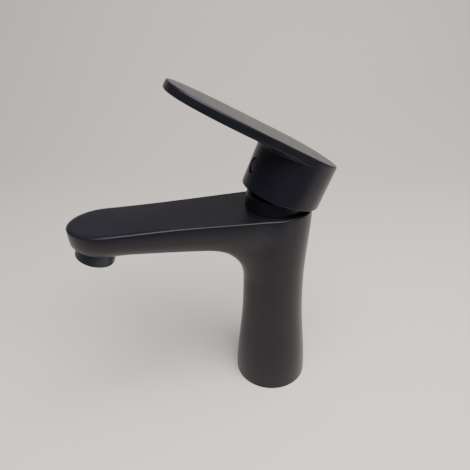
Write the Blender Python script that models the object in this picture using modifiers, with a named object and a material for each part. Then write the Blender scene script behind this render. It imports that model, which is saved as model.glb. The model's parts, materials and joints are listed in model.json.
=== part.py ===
"""Single-lever basin mixer faucet.

Frame: metres, +Z up, spout towards -Y. The origin is the centre of the foot's
underside, on the deck that the faucet stands on. The lever is stored open: lifted
back and turned a little to the +X side, and its joints read zero there.
"""

from math import cos, pi, radians, sin, sqrt, tan

import bmesh
import bpy
from mathutils import Matrix, Vector

MM = 0.001
TOUCH_GAP = 0.3 * MM  # left between pieces that rest on each other
REACH = 1.0 * MM  # how far a cutter runs past the face it opens
MERGE_DISTANCE = 0.001 * MM  # points closer than this are one point
SMOOTH_ANGLE = radians(30.0)
FRAME_SIZE = 20.0 * MM  # of an axis frame as drawn

# Column
FOOT_RADIUS = 25.0 * MM
WAIST_RADIUS = 20.3 * MM
WAIST_HEIGHT = 84.0 * MM
TOP_HEIGHT = 137.2 * MM
SHOULDER_WALL = 4.4 * MM  # round the nut's thread, at the column's top
FOOT_FLARE_POWER = 1.4

# Spout, measured forwards from the column's axis
NOSE_START = 102.9 * MM
NOSE_LENGTH = 22.0 * MM
SPOUT_HALF_WIDTH = 18.9 * MM
ROOT_INSET = 0.2 * MM  # of the spout's root inside the column's shoulder
NARROWING_LENGTH = 85.0 * MM
NARROWING_POWER = 1.35
TIP_DEPTH = 20.0 * MM
TIP_LENGTH = 10.9 * MM  # of even depth behind the nose
DEPTH_SLOPE = 0.085
FILLET_LENGTH = 23.7 * MM
FILLET_DROP = 26.0 * MM
SECTION_POWER = 2.5
FILLET_SECTION_POWER = 2.0
NOSE_POWER = 4.0
ROOT_STATIONS = (0.1, 0.6, 0.93)  # shares of the waist radius
FILLET_STATIONS = (0.05, 0.15, 0.28, 0.43, 0.62, 0.83)  # shares of the fillet's length
STRAIGHT_STATIONS = (0.03, 0.2, 0.4, 0.6, 0.8)  # shares of the straight part
NOSE_BENDS = (0, 15, 30, 45, 58, 70, 80, 86)  # degrees round the nose

# Aerator and the boss it screws into, along the outlet's own axis
OUTLET_TILT = radians(20.0)
OUTLET_DROP = 3.3 * MM  # of the outlet's centre below the spout's underside
AERATOR_RADIUS = 11.9 * MM
AERATOR_MARGIN = 0.7 * MM  # between the ring and the tip of the nose
AERATOR_DROP = 8.2 * MM  # of the ring below the boss's lip
AERATOR_STEP = 1.2 * MM  # from the ring in to its neck
AERATOR_WALL = 1.2 * MM
AERATOR_LIP = 0.6 * MM
AERATOR_LIP_HEIGHT = 1.5 * MM
AERATOR_CHAMFER = 0.8 * MM
AERATOR_ROOF = 13.2 * MM  # of the nose's depth that the neck leaves free
INSERT_RECESS = 6.0 * MM
SPRAY_HOLE_RADIUS = 0.9 * MM
SPRAY_CIRCLE_INSET = 4.0 * MM
SPRAY_HOLES = 6
SCREEN_THICKNESS = 1.0 * MM
WASHER_THICKNESS = 2.0 * MM
WASHER_WIDTH = 2.8 * MM

# Foot
FOOT_WALL = 7.5 * MM
FOOT_HOLLOW_DEPTH = 22.0 * MM
GASKET_INSET = 2.1 * MM
GASKET_WIDTH = 3.1 * MM
GASKET_THICKNESS = 1.9 * MM
STUD_HOLE_RADIUS = 3.4 * MM
STUD_HOLE_DEPTH = 18.0 * MM
STUD_HOLE_FORWARD = 11.5 * MM

# Waterways
INLET_SIDE = 7.5 * MM
INLET_BACK = 4.0 * MM
INLET_RADIUS = 4.2 * MM
OUTLET_PORT_FORWARD = 9.0 * MM
DUCT_RADIUS = 4.5 * MM
DUCT_LOW = 8.5 * MM  # the duct's lowest stretch below the cartridge seat
DUCT_FLOOR = 3.1 * MM  # of the spout under the duct
DUCT_DIP = 0.14  # share of the duct's rise at which it leaves the port
DUCT_CLIMB = ((0.05, 0.0), (0.12, 0.12), (0.18, 0.5), (0.26, 0.77), (0.36, 0.95), (0.46, 1.0))

# Cartridge, a 35 mm ceramic-disc type; rises are above the column's top
LIFT_RISE = 0.6 * MM  # of the pin that the lever rocks on
CARTRIDGE_RADIUS = 17.2 * MM
BORE_CLEARANCE = 0.4 * MM
CARTRIDGE_BASE_HEIGHT = 5.5 * MM
PORT_RADIUS = 3.4 * MM
SEAL_RADIAL_WIDTH = 1.7 * MM
SEAL_HEIGHT = 1.3 * MM
O_RING_DEPTH = 1.1 * MM
O_RING_HEIGHT = 1.6 * MM
O_RING_RISE = 2.3 * MM
DISC_THICKNESS = 3.5 * MM
DISC_CLEARANCE = 0.5 * MM
MOVING_DISC_CLEARANCE = 0.1 * MM
MIXING_RECESS_RADIUS = 7.0 * MM
MIXING_RECESS_DEPTH = 1.6 * MM
CARRIER_MARGIN = 4.1 * MM  # between the carrier and the housing's bore
CARRIER_HEIGHT = 5.7 * MM
CARRIER_FLOOR = 0.7 * MM
HOUSING_WALL = 3.2 * MM
HOUSING_SHOULDER_DEPTH = 8.2 * MM  # below the column's top
HOUSING_STEP = 1.6 * MM
HOUSING_RISE = 5.8 * MM
HOUSING_LID = 2.2 * MM
HOUSING_LID_WIDTH = 2.2 * MM
NUT_OVERLAP = 0.8 * MM  # of the nut past the housing's shoulder
NUT_RISE = 3.8 * MM
NUT_GRIP_FACETS = 12

# Collar over the nut
COLLAR_MARGIN = 1.0 * MM  # outside the nut, at the base
COLLAR_TAPER = 0.9 * MM
COLLAR_SHOULDER_RISE = 8.0 * MM
COLLAR_RISE = 10.8 * MM
COLLAR_LIP = 1.3 * MM  # of its mouth inside the housing's mouth
COLLAR_WALL = 0.9 * MM

# Lever: turned and lifted poses at which it is stored
STORED_SWIVEL = radians(6.0)
STORED_LIFT = radians(23.0)
STEM_WIDTH = 7.0 * MM
STEM_TOP = 24.0 * MM
STEM_SHOULDER = 5.5 * MM
STEM_NECK_RADIUS = 2.0 * MM
STEM_ARM = 9.0 * MM  # from the pin to the ball that drives the disc
STEM_BALL_RADIUS = 2.4 * MM
BALL_CLEARANCE = 0.8 * MM
STEM_CLEARANCE = 0.4 * MM
PIN_RADIUS = 1.5 * MM
PIN_CLEARANCE = 0.3 * MM
PIN_SETBACK = 1.3 * MM  # of the pin's ends inside the guide
GUIDE_CLEARANCE = 0.3 * MM
GUIDE_DEPTH = 6.5 * MM  # of the stem guide below the pin

# Handle, measured along the hub's axis from the pin
HUB_OVERLAP = 1.8 * MM  # of the hub past the column's shoulder
HUB_WALL = 2.4 * MM
RIM_HEIGHT = 6.6 * MM
RIM_TILT = radians(3.4)
HUB_CEILING = 26.0 * MM
PADDLE_TOP = 37.6 * MM
PADDLE_PITCH = radians(7.2)
PADDLE_THICKNESS = 5.1 * MM
PADDLE_REACH = 86.9 * MM
PADDLE_SIDE_INSET = 0.3 * MM  # of the paddle's sides inside the hub's
PADDLE_STRAIGHT = 30.0 * MM
PADDLE_TIP_POWER = 2.45
PADDLE_EDGE = 1.0 * MM
PADDLE_EDGE_ANGLE = radians(60.0)  # corners sharper than this are rounded
BOSS_WALL = 4.2 * MM  # beside the stem's socket
BOSS_LENGTH = 11.0 * MM
PLUG_HEIGHT = 18.8 * MM
PLUG_RADIUS = 4.2 * MM
PLUG_THICKNESS = 2.4 * MM
PLUG_SETBACK = 0.6 * MM
SCREW_RADIUS = 2.4 * MM
SCREW_LENGTH = 6.0 * MM
HEX_RADIUS = 1.4 * MM
HEX_DEPTH = 3.0 * MM

# Radii that follow from the ones above, from the cartridge outwards
BODY_BORE_RADIUS = CARTRIDGE_RADIUS + BORE_CLEARANCE
HOUSING_BORE = CARTRIDGE_RADIUS - HOUSING_WALL
HOUSING_NECK_RADIUS = CARTRIDGE_RADIUS - HOUSING_STEP
HOUSING_MOUTH_RADIUS = HOUSING_BORE - HOUSING_LID_WIDTH
FIXED_DISC_RADIUS = HOUSING_BORE - DISC_CLEARANCE
CARRIER_RADIUS = HOUSING_BORE - CARRIER_MARGIN
MOVING_DISC_RADIUS = CARRIER_RADIUS - MOVING_DISC_CLEARANCE
GUIDE_RADIUS = HOUSING_BORE - GUIDE_CLEARANCE
PIN_HALF_LENGTH = GUIDE_RADIUS - PIN_SETBACK
NUT_RADIUS = CARTRIDGE_RADIUS + NUT_OVERLAP
NUT_GRIP_RADIUS = CARTRIDGE_RADIUS
THREAD_RADIUS = NUT_RADIUS + TOUCH_GAP
COLLAR_BASE_RADIUS = NUT_RADIUS + COLLAR_MARGIN
COLLAR_SHOULDER_RADIUS = COLLAR_BASE_RADIUS - COLLAR_TAPER
COLLAR_MOUTH_RADIUS = HOUSING_MOUTH_RADIUS - COLLAR_LIP
SHOULDER_RADIUS = THREAD_RADIUS + SHOULDER_WALL
ROOT_HALF_WIDTH = SHOULDER_RADIUS - ROOT_INSET
HUB_RADIUS = SHOULDER_RADIUS + HUB_OVERLAP
PADDLE_HALF_WIDTH = HUB_RADIUS - PADDLE_SIDE_INSET
SOCKET_HALF_WIDTH = STEM_WIDTH / 2 + TOUCH_GAP
BOSS_RADIUS = SOCKET_HALF_WIDTH + BOSS_WALL
BOSS_BOTTOM = HUB_CEILING - BOSS_LENGTH
FOOT_HOLLOW_RADIUS = FOOT_RADIUS - FOOT_WALL
GASKET_OUTER_RADIUS = FOOT_RADIUS - GASKET_INSET
GASKET_INNER_RADIUS = GASKET_OUTER_RADIUS - GASKET_WIDTH

# Heights that follow, from the top and the pin down through the cartridge
LIFT_HEIGHT = TOP_HEIGHT + LIFT_RISE
HOUSING_TOP = TOP_HEIGHT + HOUSING_RISE
HOUSING_CEILING = HOUSING_TOP - HOUSING_LID
HOUSING_SHOULDER_HEIGHT = TOP_HEIGHT - HOUSING_SHOULDER_DEPTH
NUT_TOP = TOP_HEIGHT + NUT_RISE
COLLAR_SHOULDER_HEIGHT = TOP_HEIGHT + COLLAR_SHOULDER_RISE
COLLAR_TOP = TOP_HEIGHT + COLLAR_RISE
CARRIER_BOTTOM = LIFT_HEIGHT - STEM_ARM - STEM_BALL_RADIUS - TOUCH_GAP - CARRIER_FLOOR
MOVING_DISC_BOTTOM = CARRIER_BOTTOM - TOUCH_GAP - DISC_THICKNESS
FIXED_DISC_BOTTOM = MOVING_DISC_BOTTOM - TOUCH_GAP - DISC_THICKNESS
BASE_TOP = FIXED_DISC_BOTTOM - TOUCH_GAP
BASE_BOTTOM = BASE_TOP - CARTRIDGE_BASE_HEIGHT
SEAT_HEIGHT = BASE_BOTTOM - TOUCH_GAP
DISC_OFFSET = -STEM_ARM * sin(STORED_LIFT)
INLETS = {"hot": Vector((-INLET_SIDE, INLET_BACK)), "cold": Vector((INLET_SIDE, INLET_BACK))}
OUTLET_PORT = Vector((0, -OUTLET_PORT_FORWARD))

# Spout and aerator sizes that follow
TIP_DEPTH_FROM = NOSE_START - TIP_LENGTH
FILLET_END = WAIST_RADIUS + FILLET_LENGTH
DUCT_RUN_HEIGHT = TOP_HEIGHT - TIP_DEPTH + DUCT_FLOOR + DUCT_RADIUS
AERATOR_NECK_RADIUS = AERATOR_RADIUS - AERATOR_STEP
AERATOR_NECK_LENGTH = TIP_DEPTH - AERATOR_ROOF
AERATOR_BORE = AERATOR_NECK_RADIUS - AERATOR_WALL
AERATOR_LIP_BORE = AERATOR_BORE - AERATOR_LIP
SPRAY_CIRCLE_RADIUS = AERATOR_BORE - SPRAY_CIRCLE_INSET
WASHER_BORE = AERATOR_NECK_RADIUS - WASHER_WIDTH
INSERT_HEIGHT = AERATOR_DROP + AERATOR_NECK_LENGTH - INSERT_RECESS
OUTLET_FORWARD = NOSE_START + NOSE_LENGTH - AERATOR_RADIUS - AERATOR_MARGIN
OUTLET_CENTRE = Vector((0, -OUTLET_FORWARD, TOP_HEIGHT - TIP_DEPTH - OUTLET_DROP))

PARTS = "basin_mixer_faucet"
CUTTERS = "cutters"


# ---------------------------------------------------------------- scene helpers


def clear_scene():
    for thing in list(bpy.data.objects):
        bpy.data.objects.remove(thing, do_unlink=True)
    for name in (PARTS, CUTTERS):
        bpy.context.scene.collection.children.link(bpy.data.collections.new(name))


def add_object(name, data, collection, parent=None):
    thing = bpy.data.objects.new(name, data)
    bpy.data.collections[collection].objects.link(thing)
    thing.parent = parent
    if collection == CUTTERS:
        thing.display_type = "WIRE"
        thing.hide_render = True
    return thing


def add_frame(name, location, rotation, parent=None):
    frame = bpy.data.objects.new(name, None)
    bpy.context.scene.collection.objects.link(frame)
    frame.empty_display_size = FRAME_SIZE
    frame.location = location
    frame.rotation_euler = rotation
    frame.parent = parent
    return frame


def finish_material(name, colour, metallic, roughness):
    made = bpy.data.materials.new(name)
    made.use_nodes = True
    shader = made.node_tree.nodes["Principled BSDF"]
    shader.inputs["Base Color"].default_value = (*colour, 1)
    shader.inputs["Metallic"].default_value = metallic
    shader.inputs["Roughness"].default_value = roughness
    return made


# ---------------------------------------------------------------- shape helpers


def ease(t):
    """Runs from 0 to 1 with level ends."""
    t = min(max(t, 0), 1)
    return t * t * (3 - 2 * t)


def mesh_from(build, name, collection, parent):
    """One object from a function that fills a bmesh."""
    shape = bmesh.new()
    build(shape)
    bmesh.ops.recalc_face_normals(shape, faces=shape.faces)
    mesh = bpy.data.meshes.new(name)
    shape.to_mesh(mesh)
    shape.free()
    return add_object(name, mesh, collection, parent)


def turned(name, profile, collection=PARTS, parent=None, steps=36, ring=True):
    """A profile of (radius, height) points, run down its outer side, spun about Z."""
    points = [(radius, 0, height) for radius, height in profile]
    edges = [(i, i + 1) for i in range(len(points) - 1)]
    if ring:
        edges.append((len(points) - 1, 0))
    mesh = bpy.data.meshes.new(name)
    mesh.from_pydata(points, edges, [])
    thing = add_object(name, mesh, collection, parent)
    spin = thing.modifiers.new("spin", "SCREW")
    spin.axis = "Z"
    spin.steps = steps
    spin.render_steps = steps
    spin.use_merge_vertices = True
    spin.merge_threshold = 10 * MERGE_DISTANCE
    return thing


def tube_ring(name, inner, outer, bottom, top, collection=PARTS, parent=None, steps=36):
    profile = [(inner, top), (outer, top), (outer, bottom), (inner, bottom)]
    return turned(name, profile, collection, parent, steps)


def rod(name, radius, start, end, collection=PARTS, parent=None, sides=24):
    """A cylinder between two points."""
    start, end = Vector(start), Vector(end)
    turn = (end - start).to_track_quat("Z", "Y").to_matrix().to_4x4()
    place = Matrix.Translation((start + end) / 2) @ turn

    def build(shape):
        bmesh.ops.create_cone(
            shape, cap_ends=True, segments=sides, radius1=radius, radius2=radius,
            depth=(end - start).length, matrix=place,
        )

    return mesh_from(build, name, collection, parent)


def block(name, low, high, collection=PARTS, parent=None):
    """A box between two corners."""
    low, high = Vector(low), Vector(high)
    place = Matrix.Translation((low + high) / 2) @ Matrix.Diagonal((*(high - low), 1))
    return mesh_from(
        lambda shape: bmesh.ops.create_cube(shape, size=1, matrix=place), name, collection, parent
    )


def combine(part, operation, *tools):
    for tool in tools:
        step = part.modifiers.new(f"{operation.lower()} {tool.name}", "BOOLEAN")
        step.operation = operation
        step.solver = "EXACT"
        step.object = tool


def cut(part, *tools):
    combine(part, "DIFFERENCE", *tools)


def join(part, *tools):
    combine(part, "UNION", *tools)


def mesh_of_curve(curve, collection, parent=None):
    """A curve object made a closed mesh object, which a Boolean can use."""
    bpy.context.view_layer.update()
    drawn = curve.evaluated_get(bpy.context.evaluated_depsgraph_get())
    mesh = bpy.data.meshes.new_from_object(drawn)
    name, place = curve.name, curve.matrix_world.copy()
    bpy.data.objects.remove(curve, do_unlink=True)
    shape = bmesh.new()
    shape.from_mesh(mesh)
    bmesh.ops.remove_doubles(shape, verts=shape.verts, dist=MERGE_DISTANCE)
    bmesh.ops.recalc_face_normals(shape, faces=shape.faces)
    shape.to_mesh(mesh)
    shape.free()
    made = add_object(name, mesh, collection, parent)
    made.matrix_world = place
    return made


def settle(part):
    """Bake the modifiers, then shade round faces smooth and keep corners sharp."""
    drawn = part.evaluated_get(bpy.context.evaluated_depsgraph_get())
    mesh = bpy.data.meshes.new_from_object(drawn)
    part.modifiers.clear()
    part.data = mesh
    mesh.shade_smooth()
    mesh.set_sharp_from_angle(angle=SMOOTH_ANGLE)


# ---------------------------------------------------------------- faucet body


def column_radius(height):
    if height < WAIST_HEIGHT:
        flare = ease(1 - height / WAIST_HEIGHT) ** FOOT_FLARE_POWER
        return WAIST_RADIUS + (FOOT_RADIUS - WAIST_RADIUS) * flare
    rise = ease((height - WAIST_HEIGHT) / (TOP_HEIGHT - WAIST_HEIGHT))
    return WAIST_RADIUS + (SHOULDER_RADIUS - WAIST_RADIUS) * rise


def spout_half_width(forward):
    """Half width of the spout's top outline; the nose is the end of an ellipse."""
    root = ease(1 - forward / NARROWING_LENGTH) ** NARROWING_POWER
    width = SPOUT_HALF_WIDTH + (ROOT_HALF_WIDTH - SPOUT_HALF_WIDTH) * root
    along_nose = min(max((forward - NOSE_START) / NOSE_LENGTH, 0), 1)
    return width * sqrt(1 - along_nose**2)


def spout_depth(forward):
    """Depth of the underside below the top face, with the fillet into the column."""
    depth = TIP_DEPTH + DEPTH_SLOPE * max(TIP_DEPTH_FROM - forward, 0)
    fillet_start = column_radius(TOP_HEIGHT - TIP_DEPTH - FILLET_DROP)
    into_fillet = (FILLET_END - forward) / (FILLET_END - fillet_start)
    into_fillet = min(max(into_fillet, 0), 1)
    depth += FILLET_DROP * (1 - sqrt(1 - into_fillet**2))
    along_nose = min(max((forward - NOSE_START) / NOSE_LENGTH, 0), 1)
    return depth * (1 - along_nose**NOSE_POWER) ** (1 / NOSE_POWER)


def spout_section(forward, points=15):
    """Half-oval under a flat top: the points of one station, left to right below."""
    half_width, depth = spout_half_width(forward), spout_depth(forward)
    fillet = min(max((FILLET_END - forward) / (FILLET_END - WAIST_RADIUS), 0), 1)
    power = 2 / (SECTION_POWER + (FILLET_SECTION_POWER - SECTION_POWER) * fillet)
    above = TOP_HEIGHT + REACH
    outline = [(-half_width, -forward, above)]
    for i in range(points):
        angle = pi * i / (points - 1)
        across = -cos(angle)
        side = half_width * abs(across) ** power * (1 if across > 0 else -1)
        outline.append((side, -forward, TOP_HEIGHT - depth * max(sin(angle), 0) ** power))
    outline.append((half_width, -forward, above))
    return outline


def loft(name, sections, collection):
    """Skin closed outlines that have the same number of points, and cap the ends."""

    def build(shape):
        rows = [[shape.verts.new(point) for point in outline] for outline in sections]
        for near, far in zip(rows, rows[1:]):
            for i in range(len(near)):
                j = (i + 1) % len(near)
                shape.faces.new((near[i], near[j], far[j], far[i]))
        shape.faces.new(rows[0])
        shape.faces.new(rows[-1])

    return mesh_from(build, name, collection, None)


def spout():
    stations = [WAIST_RADIUS * share for share in ROOT_STATIONS]
    stations += [WAIST_RADIUS + FILLET_LENGTH * share for share in FILLET_STATIONS]
    straight = NOSE_START - FILLET_END
    stations += [FILLET_END + straight * share for share in STRAIGHT_STATIONS]
    stations += [NOSE_START + NOSE_LENGTH * sin(radians(turn)) for turn in NOSE_BENDS]
    return loft("spout", [spout_section(forward) for forward in stations], CUTTERS)


def outlet_duct(seat):
    """The cast waterway from the cartridge's outlet port along the spout."""
    low = seat - DUCT_LOW
    run = DUCT_RUN_HEIGHT
    rise = run - low
    climb = OUTLET_FORWARD - OUTLET_PORT_FORWARD
    side_view = [(OUTLET_PORT_FORWARD, seat + REACH), (OUTLET_PORT_FORWARD, low + DUCT_DIP * rise)]
    side_view += [(OUTLET_PORT_FORWARD + ahead * climb, low + up * rise) for ahead, up in DUCT_CLIMB]
    side_view.append((OUTLET_FORWARD - DUCT_RADIUS, run))
    data = bpy.data.curves.new("outlet_duct", "CURVE")
    data.dimensions = "3D"
    data.bevel_depth = DUCT_RADIUS
    data.bevel_resolution = 3
    data.use_fill_caps = True
    line = data.splines.new("POLY")
    line.points.add(len(side_view) - 1)
    for point, (forward, height) in zip(line.points, side_view):
        point.co = (0, -forward, height, 1)
    curve = bpy.data.objects.new("outlet_duct", data)
    bpy.context.scene.collection.objects.link(curve)
    return mesh_of_curve(curve, CUTTERS)


def faucet_body(outlet_frame):
    steps = 18
    heights = [TOP_HEIGHT * i / steps for i in range(steps, -1, -1)]
    profile = [(0, TOP_HEIGHT + REACH), (SHOULDER_RADIUS, TOP_HEIGHT + REACH)]
    profile += [(column_radius(height), height) for height in heights] + [(0, 0)]
    body = turned("faucet_body", profile, steps=48, ring=False)
    join(body, spout())

    wide = 2 * FOOT_RADIUS
    above = block(
        "above_top", (-wide, -NOSE_START - wide, TOP_HEIGHT), (wide, wide, TOP_HEIGHT + wide), CUTTERS
    )
    below_lip = block(
        "below_lip", (-wide, -wide, -wide / 2), (wide, wide / 2, AERATOR_DROP), CUTTERS, outlet_frame
    )
    bore = turned(
        "cartridge_bore",
        [
            (0, TOP_HEIGHT + REACH),
            (THREAD_RADIUS, TOP_HEIGHT + REACH),
            (THREAD_RADIUS, HOUSING_SHOULDER_HEIGHT - REACH),
            (BODY_BORE_RADIUS, HOUSING_SHOULDER_HEIGHT - REACH),
            (BODY_BORE_RADIUS, SEAT_HEIGHT),
            (0, SEAT_HEIGHT),
        ],
        CUTTERS,
        ring=False,
    )
    cut(body, above, below_lip, bore)

    hollow_floor = FOOT_HOLLOW_DEPTH
    hollow = rod("foot_hollow", FOOT_HOLLOW_RADIUS, (0, 0, -REACH), (0, 0, hollow_floor), CUTTERS, sides=36)
    groove = tube_ring(
        "gasket_groove",
        GASKET_INNER_RADIUS - TOUCH_GAP,
        GASKET_OUTER_RADIUS + TOUCH_GAP,
        -REACH,
        GASKET_THICKNESS + TOUCH_GAP,
        CUTTERS,
    )
    stud_hole = rod(
        "stud_hole",
        STUD_HOLE_RADIUS,
        (0, -STUD_HOLE_FORWARD, hollow_floor - REACH),
        (0, -STUD_HOLE_FORWARD, hollow_floor + STUD_HOLE_DEPTH),
        CUTTERS,
    )
    cut(body, hollow, groove, stud_hole)

    for side, place in INLETS.items():
        inlet = rod(
            f"{side}_inlet", INLET_RADIUS, (*place, hollow_floor - REACH),
            (*place, SEAT_HEIGHT + REACH), CUTTERS,
        )
        cut(body, inlet)
    aerator_bore = rod(
        "aerator_bore",
        AERATOR_NECK_RADIUS + TOUCH_GAP,
        (0, 0, AERATOR_DROP - REACH),
        (0, 0, AERATOR_DROP + AERATOR_NECK_LENGTH + WASHER_THICKNESS + 2 * TOUCH_GAP),
        CUTTERS,
        outlet_frame,
        sides=32,
    )
    cut(body, aerator_bore, outlet_duct(SEAT_HEIGHT))
    return body


def base_gasket():
    return tube_ring("base_gasket", GASKET_INNER_RADIUS, GASKET_OUTER_RADIUS, 0, GASKET_THICKNESS)


# ---------------------------------------------------------------- aerator


def aerator_ring(frame):
    top = AERATOR_DROP - TOUCH_GAP
    profile = [
        (AERATOR_BORE, top + AERATOR_NECK_LENGTH),
        (AERATOR_NECK_RADIUS, top + AERATOR_NECK_LENGTH),
        (AERATOR_NECK_RADIUS, top),
        (AERATOR_RADIUS, top),
        (AERATOR_RADIUS, AERATOR_CHAMFER),
        (AERATOR_RADIUS - AERATOR_CHAMFER, 0),
        (AERATOR_LIP_BORE, 0),
        (AERATOR_LIP_BORE, AERATOR_LIP_HEIGHT),
        (AERATOR_BORE, AERATOR_LIP_HEIGHT),
    ]
    return turned("aerator_ring", profile, parent=frame)


def aerator_insert(frame):
    bottom = AERATOR_LIP_HEIGHT + TOUCH_GAP
    top = bottom + INSERT_HEIGHT
    radius = AERATOR_BORE - TOUCH_GAP
    insert = rod("aerator_insert", radius, (0, 0, bottom), (0, 0, top), parent=frame, sides=32)
    places = [Vector((0, 0))]
    for i in range(SPRAY_HOLES):
        angle = 2 * pi * i / SPRAY_HOLES
        places.append(Vector((cos(angle), sin(angle))) * SPRAY_CIRCLE_RADIUS)
    for i, place in enumerate(places):
        hole = rod(
            f"spray_hole_{i}", SPRAY_HOLE_RADIUS, (*place, bottom - REACH), (*place, top + REACH),
            CUTTERS, frame, sides=12,
        )
        cut(insert, hole)
    return insert


def aerator_screen(frame):
    bottom = AERATOR_LIP_HEIGHT + INSERT_HEIGHT + 2 * TOUCH_GAP
    radius = AERATOR_BORE - TOUCH_GAP
    top = bottom + SCREEN_THICKNESS
    return rod("aerator_screen", radius, (0, 0, bottom), (0, 0, top), parent=frame, sides=32)


def aerator_washer(frame):
    bottom = AERATOR_DROP + AERATOR_NECK_LENGTH
    return tube_ring(
        "aerator_washer", WASHER_BORE, AERATOR_NECK_RADIUS, bottom, bottom + WASHER_THICKNESS, parent=frame
    )


# ---------------------------------------------------------------- cartridge, fixed pieces


def cartridge_base():
    groove = CARTRIDGE_RADIUS - O_RING_DEPTH - TOUCH_GAP
    low = BASE_BOTTOM + O_RING_RISE - TOUCH_GAP
    high = low + O_RING_HEIGHT + 2 * TOUCH_GAP
    profile = [
        (0, BASE_TOP),
        (CARTRIDGE_RADIUS, BASE_TOP),
        (CARTRIDGE_RADIUS, high),
        (groove, high),
        (groove, low),
        (CARTRIDGE_RADIUS, low),
        (CARTRIDGE_RADIUS, BASE_BOTTOM),
        (0, BASE_BOTTOM),
    ]
    base = turned("cartridge_base", profile, ring=False)
    seat_radius = PORT_RADIUS + SEAL_RADIAL_WIDTH + 2 * TOUCH_GAP
    for port, place in {**INLETS, "outlet": OUTLET_PORT}.items():
        hole = rod(
            f"{port}_port", PORT_RADIUS, (*place, BASE_BOTTOM - REACH), (*place, BASE_TOP + REACH), CUTTERS
        )
        seat = rod(
            f"{port}_seal_seat", seat_radius, (*place, BASE_BOTTOM - REACH),
            (*place, BASE_BOTTOM + SEAL_HEIGHT + TOUCH_GAP), CUTTERS,
        )
        cut(base, hole, seat)
    return base


def port_seal(port, place):
    inner = PORT_RADIUS + TOUCH_GAP
    outer = inner + SEAL_RADIAL_WIDTH
    seal = tube_ring(f"{port}_port_seal", inner, outer, BASE_BOTTOM, BASE_BOTTOM + SEAL_HEIGHT, steps=24)
    seal.location = (*place, 0)
    return seal


def cartridge_o_ring():
    outer = CARTRIDGE_RADIUS
    bottom = BASE_BOTTOM + O_RING_RISE
    return tube_ring("cartridge_o_ring", outer - O_RING_DEPTH, outer, bottom, bottom + O_RING_HEIGHT)


def fixed_disc():
    top = FIXED_DISC_BOTTOM + DISC_THICKNESS
    disc = rod("fixed_disc", FIXED_DISC_RADIUS, (0, 0, FIXED_DISC_BOTTOM), (0, 0, top), sides=36)
    for port, place in {**INLETS, "outlet": OUTLET_PORT}.items():
        hole = rod(
            f"{port}_disc_hole", PORT_RADIUS - TOUCH_GAP, (*place, FIXED_DISC_BOTTOM - REACH),
            (*place, top + REACH), CUTTERS,
        )
        cut(disc, hole)
    return disc


def cartridge_housing():
    profile = [
        (HOUSING_MOUTH_RADIUS, HOUSING_TOP),
        (HOUSING_NECK_RADIUS, HOUSING_TOP),
        (HOUSING_NECK_RADIUS, HOUSING_SHOULDER_HEIGHT),
        (CARTRIDGE_RADIUS, HOUSING_SHOULDER_HEIGHT),
        (CARTRIDGE_RADIUS, FIXED_DISC_BOTTOM),
        (HOUSING_BORE, FIXED_DISC_BOTTOM),
        (HOUSING_BORE, HOUSING_CEILING),
        (HOUSING_MOUTH_RADIUS, HOUSING_CEILING),
    ]
    return turned("cartridge_housing", profile)


def cartridge_nut():
    grip_bottom = TOP_HEIGHT - TOUCH_GAP
    bore = HOUSING_NECK_RADIUS + TOUCH_GAP
    bottom = HOUSING_SHOULDER_HEIGHT + TOUCH_GAP
    nut = rod("cartridge_nut", NUT_RADIUS, (0, 0, bottom), (0, 0, grip_bottom), sides=36)
    grip = rod(
        "nut_grip", NUT_GRIP_RADIUS, (0, 0, grip_bottom - REACH), (0, 0, NUT_TOP), CUTTERS,
        sides=NUT_GRIP_FACETS,
    )
    through = rod("nut_bore", bore, (0, 0, bottom - REACH), (0, 0, NUT_TOP + REACH), CUTTERS, sides=36)
    join(nut, grip)
    cut(nut, through)
    return nut


def collar():
    """Thin domed cover that hides the nut; the lever's stem comes out of its mouth."""
    bottom = TOP_HEIGHT + TOUCH_GAP
    dome_width = COLLAR_SHOULDER_RADIUS - COLLAR_MOUTH_RADIUS
    dome_height = COLLAR_TOP - COLLAR_SHOULDER_HEIGHT
    bends = [radians(step) for step in (90, 60, 35, 15, 0)]
    outside = [
        (COLLAR_MOUTH_RADIUS + dome_width * cos(bend), COLLAR_SHOULDER_HEIGHT + dome_height * sin(bend))
        for bend in bends
    ]
    outside.append((COLLAR_BASE_RADIUS, bottom))
    inside = [(COLLAR_BASE_RADIUS - COLLAR_WALL, bottom)]
    for bend in reversed(bends):
        radius = COLLAR_MOUTH_RADIUS + (dome_width - COLLAR_WALL) * cos(bend)
        inside.append((radius, COLLAR_SHOULDER_HEIGHT - COLLAR_WALL + dome_height * sin(bend)))
    return turned("collar", outside + inside, steps=48)


# ---------------------------------------------------------------- pieces that swivel


def stem_guide(frame):
    """The rotor inside the cartridge; heights in its frame count from the pin."""
    top = HOUSING_CEILING - TOUCH_GAP - LIFT_HEIGHT
    guide = rod("stem_guide", GUIDE_RADIUS, (0, 0, -GUIDE_DEPTH), (0, 0, top), parent=frame, sides=36)
    half = STEM_WIDTH / 2 + STEM_CLEARANCE
    lean = half / cos(STORED_LIFT)
    swing = GUIDE_DEPTH * tan(STORED_LIFT)
    rise = top * tan(STORED_LIFT)
    slot = block(
        "stem_slot", (-half, -lean - swing, -GUIDE_DEPTH - REACH), (half, lean + rise, top + REACH),
        CUTTERS, frame,
    )
    reach = PIN_HALF_LENGTH + TOUCH_GAP
    pin_hole = rod("pin_hole", PIN_RADIUS + PIN_CLEARANCE, (-reach, 0, 0), (reach, 0, 0), CUTTERS, frame)
    cut(guide, slot, pin_hole)
    return guide


def stem_pin(frame):
    end = Vector((PIN_HALF_LENGTH, 0, 0))
    return rod("stem_pin", PIN_RADIUS, -end, end, parent=frame, sides=20)


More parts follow.
